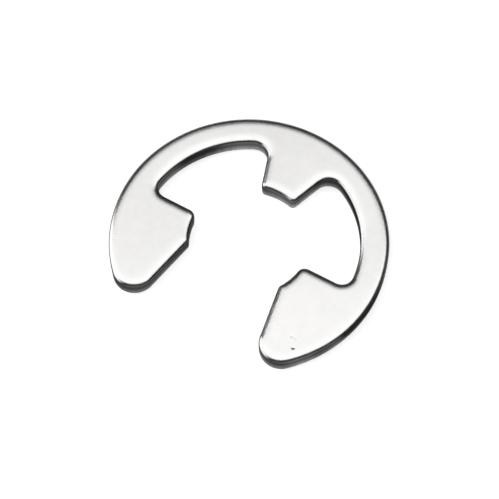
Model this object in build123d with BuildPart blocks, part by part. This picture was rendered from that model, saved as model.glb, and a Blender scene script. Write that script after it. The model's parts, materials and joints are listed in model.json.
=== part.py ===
from build123d import *
from math import atan2, cos, degrees, radians, sin, sqrt
import os

# E-shaped retaining clip for a 5 mm shaft groove, stamped from one strip of spring steel.
# Origin: on the axis of the shaft, in the lower face. +Z up, the mouth opens towards -Y.

# Blank
outer_diameter = 11.2
thickness = 0.7
bow_width = 1.15  # strip left round the relief pockets

# Groove seat, the circle that the tooth and both lobes grip
seat_diameter = 4.8
mouth_width = 4.11  # least gap between the lobes, sprung over the groove floor
mouth_flare = 10.3  # degrees that each lead-in leans out from the centre line

# Centre tooth
tooth_width = 1.47  # across its tip
tooth_flare = 18.9  # degrees that each flank leans out towards the bow

# Corners in plan
tooth_root_radius = 0.6
tooth_corner_radius = 0.2
lobe_root_radius = 0.48
lobe_shoulder_radius = 0.35
mouth_corner_radius = 0.2
lobe_tip_radius = 0.88

# Stamped edges
die_roll = 0.16  # rounding on the face where the punch enters
burr_break = 0.04  # tumbled edge on the face where it leaves

outer_radius = outer_diameter / 2
relief_radius = outer_radius - bow_width
seat_radius = seat_diameter / 2

# Corners of the right half where the seat circle ends
tooth_corner = Vector(tooth_width / 2, sqrt(seat_radius**2 - (tooth_width / 2) ** 2))
mouth_corner = Vector(mouth_width / 2, -sqrt(seat_radius**2 - (mouth_width / 2) ** 2))
tooth_corner_angle = degrees(atan2(tooth_corner.Y, tooth_corner.X))
mouth_corner_angle = degrees(atan2(mouth_corner.Y, mouth_corner.X))
flank_direction = Vector(sin(radians(tooth_flare)), cos(radians(tooth_flare)))
lead_in_direction = Vector(sin(radians(mouth_flare)), -cos(radians(mouth_flare)))

with BuildPart() as e_clip:
    with BuildSketch() as plan:
        # Right half of the outline, from the middle of the tooth's tip round to the top of the bow
        with BuildLine() as half_outline:
            tooth_end = CenterArc((0, 0), seat_radius, 90, tooth_corner_angle - 90)
            relief_circle = CenterArc((0, 0), relief_radius, 0, 90, mode=Mode.PRIVATE)
            flank = IntersectingLine(tooth_corner, flank_direction, relief_circle)
            relief = RadiusArc(flank @ 1, (relief_radius, 0), relief_radius)
            shoulder = Line(relief @ 1, (seat_radius, 0))
            seat = CenterArc((0, 0), seat_radius, 0, mouth_corner_angle)
            rim_circle = CenterArc((0, 0), outer_radius, -90, 90, mode=Mode.PRIVATE)
            lead_in = IntersectingLine(mouth_corner, lead_in_direction, rim_circle)
            rim = RadiusArc(lead_in @ 1, (0, outer_radius), -outer_radius)
            Line(rim @ 1, tooth_end @ 0)
        make_face()
        corner_radii = [
            (tooth_corner, tooth_corner_radius),
            (flank @ 1, tooth_root_radius),
            (shoulder @ 0, lobe_root_radius),
            (shoulder @ 1, lobe_shoulder_radius),
            (mouth_corner, mouth_corner_radius),
            (lead_in @ 1, lobe_tip_radius),
        ]
        for corner, radius in corner_radii:
            fillet(plan.vertices().sort_by_distance(corner)[0], radius)
        mirror(about=Plane.YZ)
    extrude(amount=thickness)
    fillet(e_clip.faces().sort_by(Axis.Z)[-1].edges(), die_roll)
    fillet(e_clip.faces().sort_by(Axis.Z)[0].edges(), burr_break)

e_clip.part.label = "e_clip"
os.makedirs("parts", exist_ok=True)
export_step(e_clip.part, "parts/e_clip.step")
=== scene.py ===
import json
from math import ceil, cos, pi, radians, sin

import bpy
from mathutils import Euler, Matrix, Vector


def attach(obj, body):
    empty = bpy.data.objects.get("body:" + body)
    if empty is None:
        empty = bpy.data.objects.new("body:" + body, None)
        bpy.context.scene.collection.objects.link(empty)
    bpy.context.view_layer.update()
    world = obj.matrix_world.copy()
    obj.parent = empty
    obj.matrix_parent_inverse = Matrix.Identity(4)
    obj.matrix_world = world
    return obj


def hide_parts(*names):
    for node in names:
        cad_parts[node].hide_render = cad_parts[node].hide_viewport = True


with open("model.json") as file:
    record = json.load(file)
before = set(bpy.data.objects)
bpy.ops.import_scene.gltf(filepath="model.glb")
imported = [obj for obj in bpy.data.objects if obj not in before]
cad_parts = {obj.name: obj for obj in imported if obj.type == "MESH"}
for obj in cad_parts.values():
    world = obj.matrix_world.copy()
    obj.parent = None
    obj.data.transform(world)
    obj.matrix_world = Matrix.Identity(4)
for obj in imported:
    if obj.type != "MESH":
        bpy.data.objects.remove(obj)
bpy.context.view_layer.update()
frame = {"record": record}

print("frame loaded")

# The clip. It is modelled in millimetres round the seat axis and brought to metres when it is whole.
cadSize = frame["record"]["size"]["bbox_m"]
mounts = {mount["name"]: mount for mount in frame["record"]["mounts"]}

clip = {
    "rimRadius": 1000 * cadSize[0] / 2,
    "thickness": 1000 * cadSize[2],
    "seatRadius": mounts["groove_seat"]["dims"]["r_mm"],
    "bowWidth": 1.15,
    "mouthWidth": 4.11,
    "mouthFlare": radians(10.3),
    "toothWidth": 1.47,
    "toothFlare": radians(18.9),
    "toothRootRadius": 0.6,
    "toothCornerRadius": 0.2,
    "lobeRootRadius": 0.48,
    "lobeShoulderRadius": 0.35,
    "mouthCornerRadius": 0.2,
    "lobeTipRadius": 0.88,
    "rollWidth": 0.35,       # how far in from the edge the punch drew the face down
    "rollDepth": 0.16,
    "rollRings": 8,          # rings across a whole roll, closest together at the edge
    "rollRingsDrawn": 5,     # more would cross at the tooth's corners
    "outlineStep": 0.07,     # longest side of a facet along the outline
    "outlineTurn": radians(8),
    "gridStep": 0.1,         # cells of the flat faces inside the rings
    "burnishDepth": 0.2,     # smooth band under the roll, then the torn zone
    "burnishSteps": 3,
    "tearSteps": 5,
    "tearTaper": 0.012,      # how far the torn zone leans in at its foot
    "burrBreak": 0.04,       # tumbled edge of the lower face
    "breakSteps": 3,
    "outlineWeld": 0.002,    # points closer than this become one
    "bodyWeld": 0.0005,
    "pitFineness": 4,        # how many times the cells round a pit are cut
    "pits": [                # tumbling marks on one lobe, as (place, radius, depth)
        ((3.84, -3.33), 0.12, 0.03),
        ((3.58, -2.93), 0.1, 0.008),
        ((3.79, -2.91), 0.1, 0.008),
    ],
}


def reach(start, heading, radius):
    # where a straight line that starts inside a circle round the seat axis meets it
    side = start.dot(heading)
    return start + heading * ((side * side - start.dot(start) + radius * radius) ** 0.5 - side)


def halfOutline():
    # right half from the middle of the tooth's tip to the top of the bow,
    # as (centre, end) stretches, with no centre where they are straight
    axis = Vector((0, 0))
    seat = clip["seatRadius"]
    rim = clip["rimRadius"]
    relief = rim - clip["bowWidth"]

    toothHalf = clip["toothWidth"] / 2
    toothTip = Vector((toothHalf, (seat**2 - toothHalf**2) ** 0.5))
    flank = Vector((sin(clip["toothFlare"]), cos(clip["toothFlare"])))
    intoPocket = Vector((flank.y, -flank.x))
    cornerRadius = clip["toothCornerRadius"]
    rootRadius = clip["toothRootRadius"]
    toothCorner = reach(toothTip - intoPocket * cornerRadius, flank, seat + cornerRadius)
    toothRoot = reach(toothTip + intoPocket * rootRadius, flank, relief - rootRadius)

    lobeRootRadius = clip["lobeRootRadius"]
    shoulderRadius = clip["lobeShoulderRadius"]
    lobeRoot = Vector((((relief - lobeRootRadius) ** 2 - lobeRootRadius**2) ** 0.5, lobeRootRadius))
    shoulder = Vector((((seat + shoulderRadius) ** 2 - shoulderRadius**2) ** 0.5, -shoulderRadius))

    mouthHalf = clip["mouthWidth"] / 2
    mouthTip = Vector((mouthHalf, -((seat**2 - mouthHalf**2) ** 0.5)))
    leadIn = Vector((sin(clip["mouthFlare"]), -cos(clip["mouthFlare"])))
    intoLobe = Vector((-leadIn.y, leadIn.x))
    mouthRadius = clip["mouthCornerRadius"]
    tipRadius = clip["lobeTipRadius"]
    mouthCorner = reach(mouthTip + intoLobe * mouthRadius, leadIn, seat + mouthRadius)
    lobeTip = reach(mouthTip + intoLobe * tipRadius, leadIn, rim - tipRadius)

    return [
        (axis, toothCorner.normalized() * seat),
        (toothCorner, toothCorner + intoPocket * cornerRadius),
        (None, toothRoot - intoPocket * rootRadius),
        (toothRoot, toothRoot.normalized() * relief),
        (axis, lobeRoot.normalized() * relief),
        (lobeRoot, lobeRoot - Vector((0, lobeRootRadius))),
        (None, shoulder + Vector((0, shoulderRadius))),
        (shoulder, shoulder.normalized() * seat),
        (axis, mouthCorner.normalized() * seat),
        (mouthCorner, mouthCorner - intoLobe * mouthRadius),
        (None, lobeTip - intoLobe * tipRadius),
        (lobeTip, lobeTip.normalized() * rim),
        (axis, Vector((0, rim))),
    ]


def drawOutline(name, height):
    # one point, drawn out along straight stretches and spun round the arcs, then mirrored
    at = Vector((0, clip["seatRadius"]))
    bpy.ops.mesh.primitive_plane_add(size=1, location=(0, 0, 0))
    outline = bpy.context.object
    outline.name = name
    bpy.ops.object.mode_set(mode="EDIT")
    bpy.ops.mesh.select_mode(type="VERT")
    bpy.ops.mesh.select_all(action="SELECT")
    bpy.ops.mesh.merge(type="CENTER")
    bpy.ops.transform.translate(value=(at.x, at.y, height))
    for centre, end in halfOutline():
        if centre is None:
            steps = ceil((end - at).length / clip["outlineStep"])
            step = ((end.x - at.x) / steps, (end.y - at.y) / steps, 0)
            for _ in range(steps):
                bpy.ops.mesh.extrude_vertices_move(TRANSFORM_OT_translate={"value": step})
        else:
            turn = (at - centre).angle_signed(end - centre)
            facet = min(clip["outlineTurn"], clip["outlineStep"] / (at - centre).length)
            bpy.ops.mesh.spin(
                steps=ceil(abs(turn) / facet),
                angle=turn,
                center=(centre.x, centre.y, height),
                axis=(0, 0, 1),
            )
        at = end
    bpy.ops.mesh.select_all(action="SELECT")
    bpy.ops.mesh.duplicate()
    bpy.ops.transform.resize(value=(-1, 1, 1), center_override=(0, 0, 0))
    bpy.ops.mesh.select_all(action="SELECT")
    bpy.ops.mesh.remove_doubles(threshold=clip["outlineWeld"])
    bpy.ops.object.mode_set(mode="OBJECT")
    return outline


def cutGrid():
    # cuts the selected face into even cells, with everything else hidden from the cuts
    bpy.ops.mesh.hide(unselected=True)
    reachEachWay = ceil(clip["rimRadius"] / clip["gridStep"])
    for normal in ((1, 0, 0), (0, 1, 0)):
        for line in range(-reachEachWay, reachEachWay):
            place = (line + 0.5) * clip["gridStep"]
            bpy.ops.mesh.select_all(action="SELECT")
            bpy.ops.mesh.bisect(plane_co=(place, place, 0), plane_no=normal)
    bpy.ops.mesh.reveal(select=False)


def inEdit(piece, selectMode="EDGE"):
    bpy.context.view_layer.objects.active = piece
    bpy.ops.object.mode_set(mode="EDIT")
    bpy.ops.mesh.select_mode(type=selectMode)


def onlySelect(piece):
    bpy.ops.object.select_all(action="DESELECT")
    piece.select_set(True)
    bpy.context.view_layer.objects.active = piece


def dropWall(depth):
    bpy.ops.mesh.extrude_edges_move(TRANSFORM_OT_translate={"value": (0, 0, -depth)})


def pressPit(piece, place, radius, depth):
    # the cells round it are cut finer, then its middle is drawn down with what is near it
    centre = Vector((place[0], place[1], clip["thickness"]))
    inEdit(piece, "FACE")
    bpy.ops.mesh.select_all(action="DESELECT")
    bpy.ops.object.mode_set(mode="OBJECT")
    for cell in piece.data.polygons:
        cell.select = (cell.center - centre).length < radius + clip["gridStep"]
    inEdit(piece, "FACE")
    bpy.ops.mesh.subdivide(number_cuts=clip["pitFineness"])
    bpy.ops.mesh.select_all(action="DESELECT")
    bpy.ops.object.mode_set(mode="OBJECT")
    middle = min(piece.data.vertices, key=lambda corner: (corner.co - centre).length)
    middle.select = True
    inEdit(piece, "VERT")
    bpy.ops.transform.translate(
        value=(0, 0, -depth),
        use_proportional_edit=True,
        proportional_edit_falloff="SMOOTH",
        proportional_size=radius,
    )
    bpy.ops.object.mode_set(mode="OBJECT")


def modelClip():
    bpy.ops.object.select_all(action="DESELECT")
    rollFoot = clip["thickness"] - clip["rollDepth"]
    body = drawOutline("clipBody", rollFoot)
    bpy.ops.object.duplicate()
    edgeLine = bpy.context.object
    onlySelect(body)

    # upper face: rings for the roll, then cells
    inEdit(body)
    bpy.ops.mesh.select_all(action="SELECT")
    bpy.ops.mesh.edge_face_add()
    bpy.ops.object.mode_set(mode="OBJECT")
    facesDown = body.data.polygons[0].normal.z < 0
    inEdit(body, "FACE")
    bpy.ops.mesh.select_all(action="SELECT")
    if facesDown:
        bpy.ops.mesh.flip_normals()
    drawn = range(clip["rollRingsDrawn"] + 1)
    rings = [1 - cos(pi / 2 * ring / clip["rollRings"]) for ring in drawn]
    for outer, inner in zip(rings, rings[1:]):
        bpy.ops.mesh.inset(thickness=clip["rollWidth"] * (inner - outer), use_even_offset=True)
    cutGrid()
    bpy.ops.object.mode_set(mode="OBJECT")
    print("upper face cut:", len(body.data.polygons), "faces")

    # the roll: the face rises from its edge as a quarter ellipse
    rise = body.vertex_groups.new(name="rise")
    rise.add(range(len(body.data.vertices)), 1, "REPLACE")
    nearness = body.modifiers.new("nearness", "VERTEX_WEIGHT_PROXIMITY")
    nearness.vertex_group = "rise"
    nearness.target = edgeLine
    nearness.proximity_mode = "GEOMETRY"
    nearness.proximity_geometry = {"EDGE"}
    nearness.min_dist = 0
    nearness.max_dist = clip["rollWidth"]
    nearness.falloff_type = "ICON_SPHERECURVE"
    lift = body.modifiers.new("lift", "DISPLACE")
    lift.vertex_group = "rise"
    lift.direction = "Z"
    lift.mid_level = 0
    lift.strength = clip["rollDepth"]
    bpy.ops.object.modifier_apply(modifier="nearness")
    bpy.ops.object.modifier_apply(modifier="lift")
    bpy.data.objects.remove(edgeLine)
    body.vertex_groups.clear()
    for place, radius, depth in clip["pits"]:
        pressPit(body, place, radius, depth)

    # the wall: an upright burnished band, then a torn zone that leans in
    inEdit(body)
    bpy.ops.mesh.select_all(action="DESELECT")
    bpy.ops.mesh.select_non_manifold()
    for _ in range(clip["burnishSteps"]):
        dropWall(clip["burnishDepth"] / clip["burnishSteps"])
    tearDepth = rollFoot - clip["burnishDepth"] - clip["burrBreak"]
    for _ in range(clip["tearSteps"]):
        dropWall(tearDepth / clip["tearSteps"])
        bpy.ops.transform.shrink_fatten(value=-clip["tearTaper"] / clip["tearSteps"])

    # lower face, with its tumbled edge
    bpy.ops.mesh.edge_face_add()
    turns = [pi / 2 * step / clip["breakSteps"] for step in range(clip["breakSteps"] + 1)]
    for outer, inner in zip(turns, turns[1:]):
        bpy.ops.mesh.inset(
            thickness=clip["burrBreak"] * (cos(outer) - cos(inner)),
            depth=clip["burrBreak"] * (sin(inner) - sin(outer)),
            use_even_offset=True,
        )
    cutGrid()
    bpy.ops.mesh.select_all(action="SELECT")
    bpy.ops.mesh.remove_doubles(threshold=clip["bodyWeld"])
    bpy.ops.mesh.normals_make_consistent(inside=False)
    bpy.ops.transform.resize(value=(0.001, 0.001, 0.001), center_override=(0, 0, 0))
    bpy.ops.object.mode_set(mode="OBJECT")
    bpy.ops.object.shade_smooth()
    print("clip modelled:", len(body.data.polygons), "faces")
    return body


body = modelClip()


# Finish: satin tumbled steel, with painted shade on the sheared wall and the roll, painted light in
# patches on them, and a painted reflection of the floor lightening the wall towards its foot
class Wire:
    # a socket that Python expressions can work on
    def __init__(self, recipe, socket):
        self.recipe = recipe
        self.socket = socket

    def work(self, operation, *others):
        return self.recipe.node("ShaderNodeMath", {"operation": operation}, dict(enumerate(others)))

    def __add__(self, other):
        return self.work("ADD", self, other)

    def __radd__(self, other):
        return self.work("ADD", other, self)

    def __sub__(self, other):
        return self.work("SUBTRACT", self, other)

    def __rsub__(self, other):
        return self.work("SUBTRACT", other, self)

    def __mul__(self, other):
        return self.work("MULTIPLY", self, other)

    def __rmul__(self, other):
        return self.work("MULTIPLY", other, self)


class Recipe:
    # one material and the nodes that are added to it
    def __init__(self, name):
        self.material = bpy.data.materials.new(name)
        self.material.use_nodes = True
        self.tree = self.material.node_tree
        self.tree.nodes.clear()

    def node(self, kind, settings, inputs, output=0):
        made = self.tree.nodes.new(kind)
        for name, value in settings.items():
            setattr(made, name, value)
        for name, value in inputs.items():
            if isinstance(value, Wire):
                self.tree.links.new(value.socket, made.inputs[name])
            else:
                made.inputs[name].default_value = value
        return Wire(self, made.outputs[output]) if made.outputs else None

    def place(self, scale, start=(0, 0, 0)):
        # object coordinates, stretched and shifted
        coordinates = self.node("ShaderNodeTexCoord", {}, {}, "Object")
        inputs = {"Vector": coordinates, "Scale": scale, "Location": start}
        return self.node("ShaderNodeMapping", {}, inputs)

    def noise(self, scale, detail=2.0, roughness=0.5, start=(0, 0, 0)):
        vector = self.place(scale, start)
        inputs = {"Vector": vector, "Scale": 1.0, "Detail": detail, "Roughness": roughness}
        return self.node("ShaderNodeTexNoise", {}, inputs)

    def between(self, value, low, high):
        # 0 below low, 1 above high, smooth between them
        inputs = {"Value": value, "From Min": low, "From Max": high}
        return self.node("ShaderNodeMapRange", {"interpolation_type": "SMOOTHSTEP"}, inputs)

    def mix(self, factor, first, second):
        # a Mix node's colour sockets share their names with others, so they go by number
        return self.node("ShaderNodeMix", {"data_type": "RGBA"}, {0: factor, 6: first, 7: second}, 2)

    def dim(self, colour, amount):
        settings = {"operation": "SCALE"}
        return self.node("ShaderNodeVectorMath", settings, {0: colour, "Scale": amount})

    def shade(self, inputs):
        shader = self.node("ShaderNodeBsdfPrincipled", {}, inputs)
        self.node("ShaderNodeOutputMaterial", {}, {"Surface": shader})


satin = {
    "face": (0.86, 0.855, 0.84),
    "wall": (0.95, 0.95, 0.95),
    "tint": (0.3, 0.3, 0.3, 1),
    # patterns on the steel, as (scale, detail, roughness)
    "clouds": ((200, 200, 200), 1, 0.5),
    "mottle": ((2200, 2200, 2200), 3, 0.6),
    "grain": ((22000, 22000, 22000), 2, 0.6),
    "streaks": ((9000, 9000, 900), 3, 0.6),    # drawn out along the shear
    # painted light: bright patches on the wall and the roll, with where the pattern starts
    "patches": ((400, 400, 400), 1, 0.5, (3, 0, 0)),    # and where it starts
    "patchEdges": (0.4, 0.6),
    # how light the face is, and how much each pattern adds
    "tone": 0.78,
    "cloudTone": 0.2,
    "mottleTone": 0.2,
    "grainTone": 0.08,
    # how light the wall and the roll are, without and with a patch: the dark levels are painted shade,
    # the patches are painted light, and the foot's level is a painted reflection of the floor
    "streakBase": 0.5,
    # the torn zone near the foot: a painted reflection of the floor, plus painted light in patches
    "footDark": 0.18,
    "footPatch": 0.3,
    # the burnished band: painted shade, plus painted light in patches
    "burnishDark": 0.03,
    "burnishPatch": 0.1,
    # the roll: painted shade, plus painted light in patches
    "rollDark": 0.02,
    "rollPatch": 0.12,
    # where each zone fades in, in millimetres: two up from the lower face,
    # one from the foot of the roll, and two down from the upper face
    "tornUpTo": 0.5,
    "edgeUpTo": 0.03,
    "rollFade": (-0.01, 0.04),
    "topFade": (0.12, 0.025),
    "smoothFade": (0.03, 0.004),
    # roughness
    "rough": 0.26,
    "mottleRough": 0.1,
    "rollSmoother": 0.1,
    "wallRougher": 0.45,
    "bumpStrength": 0.2,
    "bumpDistance": 0.00001,
}


def satinSteel():
    recipe = Recipe("satinSteel")
    millimetres = recipe.place((1000, 1000, 1000))
    height = recipe.node("ShaderNodeSeparateXYZ", {}, {0: millimetres}, "Z")
    top = clip["thickness"]
    rollFoot = top - clip["rollDepth"]

    clouds = recipe.noise(*satin["clouds"])
    mottle = recipe.noise(*satin["mottle"])
    grain = recipe.noise(*satin["grain"])
    tone = satin["tone"] + clouds * satin["cloudTone"] + mottle * satin["mottleTone"]
    face = recipe.dim(satin["face"], tone + grain * satin["grainTone"])

    # the wall: streaked where it tore, darker high up on the burnished band as painted shade, lightened
    # towards the foot by a painted reflection of the floor, and with painted light in patches
    high = recipe.between(height, 0.0, satin["tornUpTo"])
    streaks = recipe.noise(*satin["streaks"])
    # painted light: patches where the wall and the roll are drawn lit
    patches = recipe.between(recipe.noise(*satin["patches"]), *satin["patchEdges"])
    # near the foot: real tear streaks times a painted reflection of the floor
    foot = (streaks + satin["streakBase"]) * (patches * satin["footPatch"] + satin["footDark"])
    # painted shade on the burnished band
    burnishedBandShade = patches * satin["burnishPatch"] + satin["burnishDark"]
    wall = recipe.dim(satin["wall"], foot * (1 - high) + burnishedBandShade * high)
    # the roll's colour: painted shade, with painted light in patches
    paintedRollShade = recipe.dim(satin["wall"], patches * satin["rollPatch"] + satin["rollDark"])

    # which height gets which
    low, full = satin["rollFade"]
    onRoll = recipe.between(height, rollFoot + low, rollFoot + full)
    low, full = satin["topFade"]
    onTop = recipe.between(height, top - low, top - full)
    below = recipe.between(height, 0.0, satin["edgeUpTo"])
    colour = recipe.mix((1 - onTop) * below, face, recipe.mix(onRoll, wall, paintedRollShade))

    low, full = satin["smoothFade"]
    rolled = 1 - recipe.between(height, top - low, top - full)
    rough = satin["rough"] + mottle * satin["mottleRough"] - rolled * satin["rollSmoother"]
    rough = rough + (1 - onRoll) * below * satin["wallRougher"]
    bump = recipe.node("ShaderNodeBump", {}, {
        "Strength": satin["bumpStrength"],
        "Distance": satin["bumpDistance"],
        "Height": grain,
    })
    recipe.shade({
        "Base Color": colour,
        "Metallic": 1.0,
        "Roughness": rough,
        "Specular Tint": satin["tint"],
        "Normal": bump,
    })
    return recipe.material


body.data.materials.append(satinSteel())
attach(body, "root")
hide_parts("e_clip")
print("clip finished")

# Studio: a white floor under a wide soft lamp, with one more on the left and a dim one in front
studio = {
    "floorSize": 0.5,
    "floorRise": 0.00001,     # so that the lower face shows clean from below
    "floorColour": (0.96, 0.96, 0.96, 1),
    "floorGlow": 0.6,            # only the camera, reflections and glass see this
    "facing": radians(26.5),     # the lamps stand square to this heading
    "overhead": {"place": (-0.02, 0.054, 0.30), "tilt": (0, 0), "size": (0.62, 0.364), "level": 1.15},
    "left": {"place": (-0.33, 0, 0.12), "tilt": (0, radians(-70)), "size": (0.25, 0.46), "level": 2.2},
    "front": {"place": (0.1, -0.45, 0.13), "tilt": (radians(74), 0), "size": (0.8, 0.27), "level": 0.4},
    "world": 0.03,
}


def whiteFloor():
    bpy.ops.mesh.primitive_plane_add(size=studio["floorSize"], location=(0, 0, studio["floorRise"]))
    floor = bpy.context.object
    floor.name = "floor"
    recipe = Recipe("floorWhite")
    diffuse = recipe.node("ShaderNodeBsdfDiffuse", {}, {"Color": studio["floorColour"]})
    direct = recipe.node("ShaderNodeLightPath", {}, {}, "Is Camera Ray")
    glossy = recipe.node("ShaderNodeLightPath", {}, {}, "Is Glossy Ray")
    through = recipe.node("ShaderNodeLightPath", {}, {}, "Is Transmission Ray")
    seen = direct + glossy + through
    strength = seen * studio["floorGlow"]
    glow = recipe.node("ShaderNodeEmission", {}, {"Color": (1, 1, 1, 1), "Strength": strength})
    both = recipe.node("ShaderNodeAddShader", {}, {0: diffuse, 1: glow})
    recipe.node("ShaderNodeOutputMaterial", {}, {"Surface": both})
    floor.data.materials.append(recipe.material)


def softLamp(name, lamp):
    # placed and sized across and along the heading that the studio faces
    width, depth = lamp["size"]
    place = Vector(lamp["place"])
    place.rotate(Euler((0, 0, studio["facing"])))
    bpy.ops.object.light_add(type="AREA", location=place, rotation=(*lamp["tilt"], studio["facing"]))
    light = bpy.context.object
    light.name = name
    light.data.shape = "RECTANGLE"
    light.data.size = width
    light.data.size_y = depth
    light.data.energy = lamp["level"] * pi * width * depth


whiteFloor()
for name in ("overhead", "left", "front"):
    softLamp(name, studio[name])
world = bpy.data.worlds.new("studio")
world.use_nodes = True
background = world.node_tree.nodes["Background"]
background.inputs["Color"].default_value = (1, 1, 1, 1)
background.inputs["Strength"].default_value = studio["world"]
bpy.context.scene.world = world
bpy.context.scene.view_settings.view_transform = "Standard"

camera = {
    "azimuth": radians(29.56),
    "elevation": radians(62.64),
    "distance": 0.0779,
    "lens": 141.4,
    "sensor": 36,
    "nearest": 0.001,
    "aim": (0.000263, -0.000425, 0.000648),
}


def setCamera():
    level = cos(camera["elevation"])
    across = sin(camera["azimuth"]) * level
    ahead = -cos(camera["azimuth"]) * level
    toward = Vector((across, ahead, sin(camera["elevation"])))
    bpy.ops.object.camera_add(location=Vector(camera["aim"]) + toward * camera["distance"])
    made = bpy.context.object
    made.rotation_euler = toward.to_track_quat("Z", "Y").to_euler()
    made.data.lens = camera["lens"]
    made.data.sensor_width = camera["sensor"]
    made.data.clip_start = camera["nearest"]
    bpy.context.scene.camera = made


setCamera()
print("studio ready")
